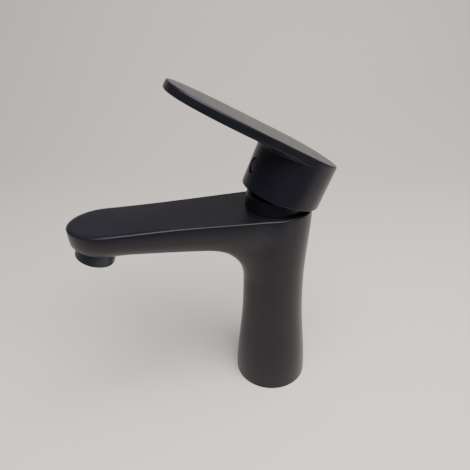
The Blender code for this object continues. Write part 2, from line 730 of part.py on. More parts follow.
def moving_disc(frame):
    bottom = MOVING_DISC_BOTTOM - LIFT_HEIGHT
    top = bottom + DISC_THICKNESS
    profile = [
        (0, top),
        (MOVING_DISC_RADIUS, top),
        (MOVING_DISC_RADIUS, bottom),
        (MIXING_RECESS_RADIUS, bottom),
        (MIXING_RECESS_RADIUS, bottom + MIXING_RECESS_DEPTH),
        (0, bottom + MIXING_RECESS_DEPTH),
    ]
    return turned("moving_disc", profile, parent=frame, steps=32, ring=False)


def disc_carrier(frame):
    bottom = CARRIER_BOTTOM - LIFT_HEIGHT
    top = bottom + CARRIER_HEIGHT
    socket = STEM_BALL_RADIUS + BALL_CLEARANCE
    floor = -STEM_ARM - STEM_BALL_RADIUS - TOUCH_GAP
    profile = [
        (0, floor),
        (socket, floor),
        (socket, top),
        (CARRIER_RADIUS, top),
        (CARRIER_RADIUS, bottom),
        (0, bottom),
    ]
    return turned("disc_carrier", profile, parent=frame, steps=32, ring=False)


# ---------------------------------------------------------------- lever


def lever_stem(frame):
    half = STEM_WIDTH / 2
    stem = block("lever_stem", (-half, -half, -STEM_SHOULDER), (half, half, STEM_TOP), parent=frame)
    neck_top = (0, 0, -STEM_SHOULDER + REACH)
    neck = rod("stem_neck", STEM_NECK_RADIUS, (0, 0, -STEM_ARM), neck_top, CUTTERS, frame, sides=16)
    ball = mesh_from(
        lambda shape: bmesh.ops.create_uvsphere(
            shape, u_segments=20, v_segments=12, radius=STEM_BALL_RADIUS,
            matrix=Matrix.Translation((0, 0, -STEM_ARM)),
        ),
        "stem_ball", CUTTERS, frame,
    )
    pin_hole = rod(
        "stem_pin_hole", PIN_RADIUS + PIN_CLEARANCE, (-half * 2, 0, 0), (half * 2, 0, 0), CUTTERS, frame
    )
    join(stem, neck, ball)
    cut(stem, pin_hole)
    return stem


def paddle_outline():
    """Plan of the paddle: round at the hub, long oval at the tip."""
    rear = [radians(turn) for turn in range(0, 181, 10)]
    outline = [(HUB_RADIUS * cos(turn), HUB_RADIUS * sin(turn)) for turn in rear]
    length = PADDLE_REACH - PADDLE_STRAIGHT
    power = 2 / PADDLE_TIP_POWER
    for turn in (radians(180 - step) for step in range(0, 181, 9)):
        across = cos(turn)
        side = PADDLE_HALF_WIDTH * abs(across) ** power * (1 if across > 0 else -1)
        outline.append((side, -PADDLE_STRAIGHT - length * max(sin(turn), 0) ** power))
    return outline


def paddle(frame):
    data = bpy.data.curves.new("paddle", "CURVE")
    data.dimensions = "2D"
    data.fill_mode = "BOTH"
    data.extrude = PADDLE_THICKNESS / 2
    outline = paddle_outline()
    line = data.splines.new("POLY")
    line.points.add(len(outline) - 1)
    for point, (side, back) in zip(line.points, outline):
        point.co = (side, back, 0, 1)
    line.use_cyclic_u = True
    curve = bpy.data.objects.new("paddle", data)
    bpy.context.scene.collection.objects.link(curve)
    plate = mesh_of_curve(curve, CUTTERS, frame)
    pitch = Matrix.Rotation(-PADDLE_PITCH, 4, "X")
    plate.matrix_world = frame.matrix_world @ Matrix.Translation((0, 0, PADDLE_TOP)) @ pitch
    plate.data.transform(Matrix.Translation((0, 0, -PADDLE_THICKNESS / 2)))
    rounding = plate.modifiers.new("rounding", "BEVEL")
    rounding.width = PADDLE_EDGE
    rounding.segments = 2
    rounding.limit_method = "ANGLE"
    rounding.angle_limit = PADDLE_EDGE_ANGLE
    return plate


def handle(frame):
    """Hub and paddle in one casting, with the boss that grips the stem."""
    inner = HUB_RADIUS - HUB_WALL
    low = RIM_HEIGHT - HUB_RADIUS * sin(RIM_TILT) - 2 * REACH
    top = PADDLE_TOP + HUB_RADIUS * sin(PADDLE_PITCH)
    profile = [
        (0, top),
        (HUB_RADIUS, top),
        (HUB_RADIUS, low),
        (inner, low),
        (inner, HUB_CEILING),
        (BOSS_RADIUS, HUB_CEILING),
        (BOSS_RADIUS, BOSS_BOTTOM),
        (0, BOSS_BOTTOM),
    ]
    hub = turned("handle", profile, parent=frame, steps=64, ring=False)
    wide = 4 * HUB_RADIUS
    over = block("over_paddle", (-wide, -wide, 0), (wide, wide, wide), CUTTERS, frame)
    over.location = (0, 0, PADDLE_TOP - PADDLE_THICKNESS / 2)
    over.rotation_euler = (-PADDLE_PITCH, 0, 0)
    under = block("under_rim", (-wide, -wide, -wide), (wide, wide, 0), CUTTERS, frame)
    under.location = (0, 0, RIM_HEIGHT)
    under.rotation_euler = (RIM_TILT, 0, 0)
    cut(hub, over, under)
    join(hub, paddle(frame))

    half = SOCKET_HALF_WIDTH
    socket = block(
        "stem_socket", (-half, -half, BOSS_BOTTOM - REACH), (half, half, STEM_TOP + TOUCH_GAP), CUTTERS, frame
    )
    plug_hole = rod(
        "plug_hole", PLUG_RADIUS + TOUCH_GAP, (0, -HUB_RADIUS - REACH, PLUG_HEIGHT),
        (0, -inner + 2 * REACH, PLUG_HEIGHT), CUTTERS, frame, sides=28,
    )
    screw_hole = rod(
        "screw_hole", SCREW_RADIUS + TOUCH_GAP, (0, -BOSS_RADIUS - REACH, PLUG_HEIGHT),
        (0, 0, PLUG_HEIGHT), CUTTERS, frame, sides=20,
    )
    cut(hub, socket, plug_hole, screw_hole)
    return hub


def index_plug(frame):
    face = -HUB_RADIUS + PLUG_SETBACK
    return rod(
        "index_plug", PLUG_RADIUS, (0, face, PLUG_HEIGHT), (0, face + PLUG_THICKNESS, PLUG_HEIGHT),
        parent=frame, sides=28,
    )


def set_screw(frame):
    tip = -STEM_WIDTH / 2 - TOUCH_GAP
    head = tip - SCREW_LENGTH
    start, end = (0, head, PLUG_HEIGHT), (0, tip, PLUG_HEIGHT)
    screw = rod("set_screw", SCREW_RADIUS, start, end, parent=frame, sides=20)
    key = rod(
        "hex_socket", HEX_RADIUS, (0, head - REACH, PLUG_HEIGHT), (0, head + HEX_DEPTH, PLUG_HEIGHT),
        CUTTERS, frame, sides=6,
    )
    cut(screw, key)
    return screw


# ---------------------------------------------------------------- assembly


def assemble():
    """Every piece with the finish it takes."""
    outlet = add_frame("outlet_axis", OUTLET_CENTRE, (-OUTLET_TILT, 0, 0))
    swivel = add_frame("lever_swivel_axis", (0, 0, LIFT_HEIGHT), (0, 0, STORED_SWIVEL))
    slide = add_frame("disc_slide_axis", (0, DISC_OFFSET, 0), (0, 0, 0), swivel)
    lift = add_frame("lever_lift_axis", (0, 0, 0), (-STORED_LIFT, 0, 0), swivel)
    bpy.context.view_layer.update()

    black = finish_material("satin_black", (0.025, 0.025, 0.028), 0.0, 0.42)
    dark = finish_material("gloss_navy", (0.008, 0.010, 0.022), 0.0, 0.15)
    coated = finish_material("dark_aerator", (0.03, 0.038, 0.048), 0.3, 0.35)
    brass = finish_material("brass", (0.66, 0.50, 0.25), 1.0, 0.35)
    plastic = finish_material("white_plastic", (0.72, 0.72, 0.70), 0.0, 0.45)
    ceramic = finish_material("ceramic", (0.86, 0.85, 0.82), 0.0, 0.25)
    rubber = finish_material("rubber", (0.02, 0.02, 0.02), 0.0, 0.7)
    steel = finish_material("steel", (0.55, 0.56, 0.58), 1.0, 0.3)

    pieces = {
        faucet_body(outlet): black,
        base_gasket(): rubber,
        aerator_ring(outlet): coated,
        aerator_insert(outlet): plastic,
        aerator_screen(outlet): steel,
        aerator_washer(outlet): rubber,
        cartridge_base(): plastic,
        cartridge_o_ring(): rubber,
        fixed_disc(): ceramic,
        cartridge_housing(): plastic,
        cartridge_nut(): brass,
        collar(): black,
        stem_guide(swivel): plastic,
        stem_pin(swivel): steel,
        moving_disc(slide): ceramic,
        disc_carrier(slide): plastic,
        lever_stem(lift): brass,
        handle(lift): black,
        index_plug(lift): dark,
        set_screw(lift): steel,
    }
    for port, place in {**INLETS, "outlet": OUTLET_PORT}.items():
        pieces[port_seal(port, place)] = rubber
    bpy.context.view_layer.update()
    for piece, finish in pieces.items():
        settle(piece)
        piece.data.materials.clear()
        piece.data.materials.append(finish)


clear_scene()
assemble()
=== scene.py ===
"""Looks of the single-lever basin mixer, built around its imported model.

Metres, +Z up, spout towards -Y. Each piece is made by an operator of its own, and its
sizes and colours are properties of the scene.
"""

import json
from math import atan2, cos, pi, radians, sin, tan

import bmesh
import bpy
import numpy as np
from bpy.props import FloatProperty, FloatVectorProperty, PointerProperty
from mathutils import Matrix, Quaternion, Vector


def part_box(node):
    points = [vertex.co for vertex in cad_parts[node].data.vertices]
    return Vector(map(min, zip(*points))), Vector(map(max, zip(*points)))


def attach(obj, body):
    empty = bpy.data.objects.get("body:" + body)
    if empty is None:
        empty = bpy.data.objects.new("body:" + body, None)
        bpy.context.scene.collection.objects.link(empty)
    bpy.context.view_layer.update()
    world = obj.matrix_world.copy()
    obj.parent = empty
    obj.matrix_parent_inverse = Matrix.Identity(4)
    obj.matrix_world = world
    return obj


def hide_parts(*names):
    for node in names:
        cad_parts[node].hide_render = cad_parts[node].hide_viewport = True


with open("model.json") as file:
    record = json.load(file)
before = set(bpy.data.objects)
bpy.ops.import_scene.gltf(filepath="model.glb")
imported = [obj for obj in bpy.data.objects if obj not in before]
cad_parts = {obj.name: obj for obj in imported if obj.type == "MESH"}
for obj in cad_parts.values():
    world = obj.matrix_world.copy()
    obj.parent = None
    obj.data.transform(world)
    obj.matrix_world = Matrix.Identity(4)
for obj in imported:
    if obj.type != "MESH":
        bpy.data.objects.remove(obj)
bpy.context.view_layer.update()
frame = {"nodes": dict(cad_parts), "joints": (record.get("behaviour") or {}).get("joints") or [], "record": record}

bl_info = {
    "name": "Basin mixer looks",
    "version": (1, 0, 0),
    "blender": (4, 5, 0),
    "location": "View3D > Sidebar > Mixer",
    "description": "Builds the fine surfaces, finishes and studio of a basin mixer",
    "category": "Object",
}

MM = 0.001
TOUCH_GAP = 0.3 * MM
PAST = 1.0 * MM  # how far a cutter runs past the face it opens

JOINTS = {joint["name"]: joint for joint in frame["joints"]}
PIVOT = Vector(JOINTS["lever_lift"]["pos_m"])
LIFT_AXIS = Vector(JOINTS["lever_lift"]["axis"])
STORED_SWIVEL = atan2(-LIFT_AXIS.y, -LIFT_AXIS.x)
STORED_LIFT = radians(-JOINTS["lever_lift"]["range_deg"][0])
LEVER_FRAME = (
    Matrix.Translation(PIVOT) @ Matrix.Rotation(STORED_SWIVEL, 4, "Z") @ Matrix.Rotation(-STORED_LIFT, 4, "X")
)
MOUNTS = {mount["name"]: mount for mount in frame["record"]["mounts"]}
OUTLET_DOWN = Vector(MOUNTS["aerator_outlet"]["axis"])
OUTLET_TILT = atan2(-OUTLET_DOWN.y, -OUTLET_DOWN.z)
OUTLET_PLACE = Vector((0, *MOUNTS["aerator_outlet"]["pos_m"][1:]))
OUTLET_FRAME = Matrix.Translation(OUTLET_PLACE) @ Matrix.Rotation(-OUTLET_TILT, 4, "X")
BODY_LOW, BODY_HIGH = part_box("faucet_body")
BODY_TOP = BODY_HIGH.z
FOOT_RADIUS = BODY_HIGH.y
SPOUT_TIP = -BODY_LOW.y


def length(name, text, size):
    return FloatProperty(name=name, description=text, default=size, unit="LENGTH", precision=5)


def tint(name, text, colour):
    return FloatVectorProperty(
        name=name, description=text, default=colour, size=3, subtype="COLOR", min=0, max=1
    )


def share(name, text, value):
    return FloatProperty(name=name, description=text, default=value, min=0, max=1, subtype="FACTOR")


# ---------------------------------------------------------------- sizes and colours


class MixerBodySizes(bpy.types.PropertyGroup):
    waist_radius: length("Waist radius", "Column radius at its narrowest", 20.3 * MM)
    waist_height: length("Waist height", "Height of the column's narrowest place", 84.0 * MM)
    shoulder_radius: length("Shoulder radius", "Column radius at the top", 22.7 * MM)
    flare_power: FloatProperty(name="Flare", description="How late the foot flares out", default=1.4, min=0.5, max=4)
    spout_half_width: length("Spout half width", "Half width of the spout along its length", 18.9 * MM)
    root_half_width: length("Root half width", "Half width where the spout leaves the column", 22.5 * MM)
    narrowing: length("Narrowing", "Length over which the spout narrows", 85.0 * MM)
    nose_length: length("Nose length", "Length of the rounded end", 22.0 * MM)
    tip_depth: length("Tip depth", "Depth of the spout at its nose", 20.0 * MM)
    tip_depth_from: length("Tip depth from", "Reach at which the spout starts to deepen", 92.0 * MM)
    deepening: FloatProperty(name="Deepening", description="Slope of the underside", default=0.085, min=0, max=1)
    corner_fill: length("Corner fill", "Extra metal in the middle of the inner bend", 0.8 * MM)
    bend_slimming: length("Bend slimming", "How much narrower the inner bend is at its middle", 0.9 * MM)
    side_blend: length("Side blend", "Blend between the column and the spout's sides", 3.0 * MM)
    top_edge: length("Top edge", "Rounding of the flat top's edge", 1.1 * MM)
    nose_edge: length("Nose edge", "How far in the rounding reaches at the nose", 3.2 * MM)
    lip_edge: length("Lip edge", "Rounding of the aerator boss's lip", 0.45 * MM)
    lip_drop: length("Lip drop", "How far the aerator ring stands below the boss", 8.2 * MM)


class MixerLeverSizes(bpy.types.PropertyGroup):
    hub_radius: length("Hub radius", "Outer radius of the hub", 24.44 * MM)
    hub_wall: length("Hub wall", "Wall of the hub", 2.4 * MM)
    rim_height: length("Rim height", "Height of the rim above the pin", 6.6 * MM)
    rim_tilt: FloatProperty(name="Rim tilt", description="Tilt of the rim", default=radians(3.4), unit="ROTATION")
    rim_edge: length("Rim edge", "Rounding of the rim", 0.7 * MM)
    ceiling: length("Ceiling", "Height of the hub's ceiling above the pin", 26.0 * MM)
    paddle_top: length("Paddle top", "Height of the paddle's top above the pin", 37.6 * MM)
    paddle_pitch: FloatProperty(name="Pitch", description="Rise towards the tip", default=radians(7.2), unit="ROTATION")
    paddle_thickness: length("Paddle thickness", "Thickness of the plate", 5.1 * MM)
    paddle_reach: length("Paddle reach", "From the hub's axis to the tip", 87.2 * MM)
    paddle_half_width: length("Paddle half width", "Half width of the plate", 24.2 * MM)
    paddle_straight: length("Paddle straight", "Length of the straight sides", 30.0 * MM)
    tip_power: FloatProperty(name="Tip power", description="Fullness of the oval tip", default=2.45, min=1, max=8)
    top_edge: length("Top edge", "Rounding of the plate's top edge", 1.0 * MM)
    under_edge: length("Under edge", "Rounding of the plate's lower edge", 1.3 * MM)
    fillet: length("Fillet", "Blend under the plate at the hub", 6.0 * MM)
    boss_radius: length("Boss radius", "Radius of the boss that grips the stem", 8.0 * MM)
    boss_bottom: length("Boss bottom", "Height of the boss's end above the pin", 15.0 * MM)
    plug_height: length("Plug height", "Height of the index plug above the pin", 18.8 * MM)
    plug_radius: length("Plug radius", "Radius of the index plug", 4.2 * MM)
    plug_setback: length("Plug setback", "How far the plug sits inside the wall", 0.45 * MM)
    plug_thickness: length("Plug thickness", "Thickness of the index plug", 2.4 * MM)
    stem_width: length("Stem width", "Width of the square stem", 7.0 * MM)
    stem_top: length("Stem top", "Height of the stem's end above the pin", 24.0 * MM)
    screw_radius: length("Screw radius", "Radius of the set screw", 2.4 * MM)


class MixerFinishes(bpy.types.PropertyGroup):
    black: tint("Black coat", "Satin black coating", (0.0078, 0.0076, 0.0122))
    black_dust: tint("Black coat, paler", "Where the coating scatters more light", (0.011, 0.0107, 0.016))
    black_roughness: share("Black roughness", "Roughness of the coating", 0.33)
    ring_black: tint("Ring black", "Aerator ring", (0.010, 0.017, 0.028))
    navy: tint("Navy", "Index plug", (0.016, 0.016, 0.042))
    rubber: tint("Rubber", "Seals and gasket", (0.018, 0.018, 0.018))
    plastic: tint("Plastic", "Cartridge mouldings", (0.70, 0.70, 0.67))
    steel: tint("Steel", "Pin, screw and screen", (0.55, 0.56, 0.58))
    brass: tint("Brass", "Nut and stem", (0.66, 0.49, 0.24))
    ceramic: tint("Ceramic", "Sealing discs", (0.86, 0.85, 0.81))


class MixerStudio(bpy.types.PropertyGroup):
    camera_place: FloatVectorProperty(
        name="Camera place", description="Where the camera stands", default=(0.24352, -0.07273, 0.26658),
        size=3, subtype="TRANSLATION",
    )
    camera_heading: FloatProperty(
        name="Heading", description="Direction of view, from +X towards +Y", default=radians(169.116), unit="ROTATION"
    )
    camera_fall: FloatProperty(
        name="Fall", description="How far the view points down", default=radians(30.943), unit="ROTATION"
    )
    camera_roll: FloatProperty(name="Roll", description="Tilt of the camera", default=radians(0.95), unit="ROTATION")
    camera_lens: FloatProperty(name="Lens", description="Focal length in mm", default=35.138, min=10, max=200)
    paper: tint("Paper", "Backdrop sheet", (0.83, 0.77, 0.715))
    floor_front: length("Floor front", "Where the sheet ends before the object", 0.21)
    floor_back: length("Floor back", "Where the sheet starts to rise behind the object", 0.36)
    sweep_radius: length("Sweep radius", "Radius of the sheet's bend", 0.38)
    sheet_half_width: length("Sheet half width", "Half width of the sheet", 1.6)
    sheet_height: length("Sheet height", "Height at which the sheet ends behind the object", 0.46)


# ---------------------------------------------------------------- mesh tools


def ease(t):
    t = np.clip(t, 0, 1)
    return t * t * (3 - 2 * t)


def object_from(name, shape):
    bmesh.ops.recalc_face_normals(shape, faces=shape.faces)
    mesh = bpy.data.meshes.new(name)
    shape.to_mesh(mesh)
    shape.free()
    made = bpy.data.objects.new(name, mesh)
    bpy.context.scene.collection.objects.link(made)
    return made


def skin(shape, rows, closed=True, start_cap=True, end_cap=True):
    """Faces between rows of points; each row is a loop."""
    loops = [[shape.verts.new(point) for point in row] for row in rows]
    for near, far in zip(loops, loops[1:]):
        count = len(near)
        for i in range(count if closed else count - 1):
            j = (i + 1) % count
            shape.faces.new((near[i], near[j], far[j], far[i]))
    if start_cap:
        shape.faces.new(loops[0])
    if end_cap:
        shape.faces.new(loops[-1])


def arc(centre, radius, start, end, steps):
    """Points of (radius, height) on an arc, by angles in degrees."""
    turns = [radians(start + (end - start) * i / steps) for i in range(steps + 1)]
    return [(centre[0] + radius * cos(turn), centre[1] + radius * sin(turn)) for turn in turns]


def turned(name, profile, place=None, steps=128):
    """A closed ring profile of (radius, height) spun about Z, then moved by a matrix."""
    shape = bmesh.new()
    rows = []
    for i in range(steps):
        turn = 2 * pi * i / steps
        rows.append([(radius * cos(turn), radius * sin(turn), height) for radius, height in profile])
    rows.append(rows[0])
    skin(shape, rows, start_cap=False, end_cap=False)
    bmesh.ops.remove_doubles(shape, verts=shape.verts, dist=0.00001)
    if place is not None:
        bmesh.ops.transform(shape, matrix=place, verts=shape.verts)
    return object_from(name, shape)


def solid_turned(name, profile, place=None, steps=64):
    """A profile of (radius, height) from the top axis point to the bottom one, spun about Z."""
    shape = bmesh.new()
    rows = []
    for radius, height in profile:
        turns = [2 * pi * i / steps for i in range(steps)]
        rows.append([(radius * cos(turn), radius * sin(turn), height) for turn in turns])
    skin(shape, rows)
    if place is not None:
        bmesh.ops.transform(shape, matrix=place, verts=shape.verts)
    return object_from(name, shape)


def rod(name, radius, start, end, place=None, sides=48):
    start, end = Vector(start), Vector(end)
    turn = (end - start).to_track_quat("Z", "Y").to_matrix().to_4x4()
    move = Matrix.Translation((start + end) / 2) @ turn
    if place is not None:
        move = place @ move
    shape = bmesh.new()
    bmesh.ops.create_cone(
        shape, cap_ends=True, segments=sides, radius1=radius, radius2=radius,
        depth=(end - start).length, matrix=move,
    )
    return object_from(name, shape)


def carve(piece, cutters):
    """Cut the cutters out of the piece, and remove them."""
    for cutter in cutters:
        step = piece.modifiers.new("cut", "BOOLEAN")
        step.operation = "DIFFERENCE"
        step.solver = "EXACT"
        step.object = cutter
    drawn = piece.evaluated_get(bpy.context.evaluated_depsgraph_get())
    mesh = bpy.data.meshes.new_from_object(drawn)
    piece.modifiers.clear()
    piece.data = mesh
    for cutter in cutters:
        bpy.data.objects.remove(cutter, do_unlink=True)


def shade(piece, angle=32):
    """Smooth round faces, keep corners crisp, and let big faces lead the normals."""
    piece.data.shade_smooth()
    piece.data.set_sharp_from_angle(angle=radians(angle))
    lead = piece.modifiers.new("leading faces", "WEIGHTED_NORMAL")
    lead.keep_sharp = True
    lead.weight = 60


def present(piece, node, body, slot):
    """Put a piece on its body with its slot's finish, in place of the plain node."""
    piece.data.materials.clear()
    piece.data.materials.append(finish_named(slot))
    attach(piece, body)
    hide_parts(node)


# ---------------------------------------------------------------- shader maths


class Signal:
    """A shader socket that can be used in sums."""

    def __init__(self, recipe, socket):
        self.recipe = recipe
        self.socket = socket

    def __add__(self, other):
        return self.recipe.maths("ADD", self, other)

    def __sub__(self, other):
        return self.recipe.maths("SUBTRACT", self, other)

    def __mul__(self, other):
        return self.recipe.maths("MULTIPLY", self, other)

    __radd__ = __add__
    __rmul__ = __mul__


class Recipe:
    """One material, built node by node."""

    def __init__(self, name):
        self.material = bpy.data.materials.new(name)
        self.material.use_nodes = True
        self.tree = self.material.node_tree
        self.shader = self.tree.nodes["Principled BSDF"]

    def feed(self, socket, value):
        if isinstance(value, Signal):
            self.tree.links.new(value.socket, socket)
        else:
            socket.default_value = value

    def node(self, kind, settings=None, sockets=None, output=0):
        made = self.tree.nodes.new(kind)
        for name, value in (settings or {}).items():
            setattr(made, name, value)
        for name, value in (sockets or {}).items():
            self.feed(made.inputs[name], value)
        return Signal(self, made.outputs[output])

    def maths(self, operation, one, two):
        return self.node("ShaderNodeMath", {"operation": operation}, {0: one, 1: two})

    def place(self):
        return self.node("ShaderNodeTexCoord", output=3)

    def stretch(self, scale):
        return self.node("ShaderNodeMapping", {}, {"Vector": self.place(), "Scale": scale})

    def noise(self, size, detail=2.0, vector=None):
        """Cloudy noise whose features are about this many metres wide."""
        sockets = {"Vector": vector or self.place(), "Scale": 1 / size, "Detail": detail}
        return self.node("ShaderNodeTexNoise", {}, sockets)

    def mix(self, factor, one, two):
        return self.node("ShaderNodeMix", {"data_type": "RGBA"}, {0: factor, 6: one, 7: two}, output=2)

    def band(self, value, low, high):
        """0 below low, 1 above high."""
        return self.node(
            "ShaderNodeMapRange", {"interpolation_type": "SMOOTHSTEP"}, {0: value, 1: low, 2: high}
        )

    def bump(self, height, distance, strength=1.0):
        sockets = {"Strength": strength, "Distance": distance, "Height": height}
        return self.node("ShaderNodeBump", {}, sockets)

    def finish(self, **values):
        for name, value in values.items():
            self.feed(self.shader.inputs[name.replace("_", " ")], value)
        return self.material


def rgba(colour):
    return (*colour, 1)


FINISHES = {}


def finish_named(name):
    """The material of that slot, made the first time that it is asked for."""
    if name not in FINISHES:
        FINISHES[name] = MAKERS[name](bpy.context.scene.mixer_finishes)
    return FINISHES[name]


def satin_black(colours):
    """Sprayed satin coat: fine orange peel, slight cloudiness, a few dust specks."""
    coat = Recipe("satin_black")
    cloud = coat.noise(22 * MM, 3)
    grain = coat.noise(0.28 * MM, 1)
    peel = coat.noise(1.1 * MM, 2)
    specks = coat.band(coat.noise(0.9 * MM, 0), 0.80, 0.86)
    colour = coat.mix(coat.band(cloud, 0.3, 0.7) * 0.6 + specks * 0.4, rgba(colours.black), rgba(colours.black_dust))
    rough = colours.black_roughness + (cloud - 0.5) * 0.10 + (grain - 0.5) * 0.12
    height = peel * 0.6 + grain * 0.4
    return coat.finish(
        Base_Color=colour, Roughness=rough, Normal=coat.bump(height, 0.012 * MM),
        Specular_IOR_Level=0.26,
    )


def aerator_black(colours):
    """Coated ring with faint turning lines round it."""
    coat = Recipe("aerator_black")
    lines = coat.noise(1 * MM, 1, coat.stretch((0.05, 0.05, 5)))
    cloud = coat.noise(6 * MM, 2)
    colour = coat.mix(cloud, rgba(colours.ring_black), rgba(tuple(0.8 * part for part in colours.ring_black)))
    return coat.finish(
        Base_Color=colour, Roughness=0.30 + lines * 0.12, Metallic=0.35, Normal=coat.bump(lines, 0.01 * MM),
    )


def gloss_navy(colours):
    paint = Recipe("gloss_navy")
    cloud = paint.noise(2.5 * MM, 2)
    colour = paint.mix(cloud, rgba(colours.navy), rgba((0.026, 0.026, 0.066)))
    return paint.finish(
        Base_Color=colour, Roughness=0.36 + cloud * 0.12, Normal=paint.bump(cloud, 0.02 * MM),
        Specular_IOR_Level=0.12,
    )


def black_rubber(colours):
    rubber = Recipe("black_rubber")
    grain = rubber.noise(0.4 * MM, 3)
    cloud = rubber.noise(8 * MM, 2)
    colour = rubber.mix(cloud, rgba(colours.rubber), rgba((0.032, 0.031, 0.030)))
    return rubber.finish(Base_Color=colour, Roughness=0.62 + grain * 0.2, Normal=rubber.bump(grain, 0.03 * MM))


def white_plastic(colours):
    plastic = Recipe("white_plastic")
    grain = plastic.noise(0.5 * MM, 2)
    flow = plastic.noise(9 * MM, 3)
    colour = plastic.mix(flow, rgba(colours.plastic), rgba((0.62, 0.62, 0.58)))
    return plastic.finish(Base_Color=colour, Roughness=0.36 + grain * 0.18, Normal=plastic.bump(grain, 0.015 * MM))


def steel(colours):
    metal = Recipe("steel")
    lines = metal.noise(1 * MM, 2, metal.stretch((0.1, 0.1, 6)))
    colour = metal.mix(lines, rgba(colours.steel), rgba((0.42, 0.43, 0.45)))
    return metal.finish(
        Base_Color=colour, Metallic=1.0, Roughness=0.22 + lines * 0.2, Normal=metal.bump(lines, 0.008 * MM),
    )


def brass(colours):
    metal = Recipe("brass")
    lines = metal.noise(1 * MM, 2, metal.stretch((0.1, 0.1, 4)))
    stain = metal.noise(7 * MM, 3)
    colour = metal.mix(stain, rgba(colours.brass), rgba((0.50, 0.35, 0.16)))
    return metal.finish(
        Base_Color=colour, Metallic=1.0, Roughness=0.26 + lines * 0.2, Normal=metal.bump(lines, 0.01 * MM),
    )


def ceramic(colours):
    disc = Recipe("ceramic")
    cloud = disc.noise(3 * MM, 3)
    colour = disc.mix(cloud, rgba(colours.ceramic), rgba((0.78, 0.77, 0.72)))
    return disc.finish(Base_Color=colour, Roughness=0.12 + cloud * 0.12)


def paper(colours):
    """Matt backdrop sheet with a faint tooth, and painted shade in soft blotches for its creases."""
    sheet = Recipe("paper")
    tooth = sheet.noise(1.5 * MM, 3)
    # painted shade: broad noise marks soft blotches where the sheet is darkened to stand in for shade in its creases
    crease_shade = sheet.noise(260 * MM, 1)
    studio = bpy.context.scene.mixer_studio
    # painted shade: a darker copy of the paper colour, mixed in where the crease mask is high
    shaded_paper = tuple(0.94 * part for part in studio.paper)
    colour = sheet.mix(crease_shade, rgba(studio.paper), rgba(shaded_paper))
    return sheet.finish(Base_Color=colour, Roughness=0.8 + tooth * 0.1, Normal=sheet.bump(tooth, 0.02 * MM))


MAKERS = {
    "satin_black": satin_black,
    "aerator_black": aerator_black,
    "gloss_navy": gloss_navy,
    "black_rubber": black_rubber,
    "white_plastic": white_plastic,
    "steel": steel,
    "brass": brass,
    "ceramic": ceramic,
    "paper": paper,
}


# ---------------------------------------------------------------- faucet body

FAN_FORWARD = 46.0 * MM  # pivot of the fan of sections in the inner corner
FAN_HEIGHT = 86.0 * MM
ABOVE_TOP = 12.0 * MM  # the skin is first made this far past the flat top
SECTION_POWER = 2.5  # 2 is an ellipse, more is squarer
NOSE_POWER = 4  # how late the nose gives up its depth
ROOT_POWER = 1.35  # how soon the spout's root narrows
BEND_TUCK = 0.13  # share by which the section centres draw in along the bend
SMALLEST = 1e-6
COLUMN_STATIONS = 46
BEND_STEPS = 32
STRAIGHT_STATIONS = 34
RAY_REACH = 80.0 * MM
RAY_HALVINGS = 40
WELD = 0.05 * MM
NOSE_EDGE_FROM = 55.0 * MM  # forward of the axis, where the top's rounding starts to widen
NOSE_EDGE_OVER = 45.0 * MM
LIP_SURROUND = 25.0 * MM  # faces this near to the lip are cut by its plane
FLAT_TOP_SLOPE = 0.9  # upright share of a normal, above which a face is the flat top

FOOT_HOLLOW_RADIUS = 17.5 * MM
GASKET_GROOVE_WIDTH = 3.4 * MM
HOUSING_CLEARANCE = 0.4 * MM
AXIS_POINT = 0.1 * MM  # radius at which a turned cutter closes on its axis
STUD_RADIUS = 3.4 * MM
STUD_FORWARD = 11.5 * MM
STUD_DEPTH = 18.0 * MM
PORT_RADIUS = 4.2 * MM
PORT_INWARD = 6.0 * MM  # from a hose port's mount to the port's axis
AERATOR_BORE_DEPTH = 9.4 * MM


def column_radius(sizes, height):
    flare = ease(1 - height / sizes.waist_height) ** sizes.flare_power
    below = sizes.waist_radius + (FOOT_RADIUS - sizes.waist_radius) * flare
    rise = ease((height - sizes.waist_height) / (BODY_TOP - sizes.waist_height))
    above = sizes.waist_radius + (sizes.shoulder_radius - sizes.waist_radius) * rise
    return np.where(height < sizes.waist_height, below, above)


def nose_share(sizes, forward):
    start = SPOUT_TIP - sizes.nose_length
    return np.clip((forward - start) / sizes.nose_length, 0, 0.999999)


def spout_half_width(sizes, forward):
    root = ease(1 - forward / sizes.narrowing) ** ROOT_POWER
    width = sizes.spout_half_width + (sizes.root_half_width - sizes.spout_half_width) * root
    return width * np.sqrt(1 - nose_share(sizes, forward) ** 2)


def spout_depth(sizes, forward):
    depth = sizes.tip_depth + sizes.deepening * np.maximum(sizes.tip_depth_from - forward, 0)
    return depth * (1 - nose_share(sizes, forward) ** NOSE_POWER) ** (1 / NOSE_POWER)


def soft_union(one, two, reach):
    """The nearer of two surfaces, rounded where they are within reach of each other."""
    reach = np.maximum(reach, SMALLEST)
    shared = np.maximum(reach - np.abs(one - two), 0)
    return np.minimum(one, two) - shared**2 / (4 * reach)


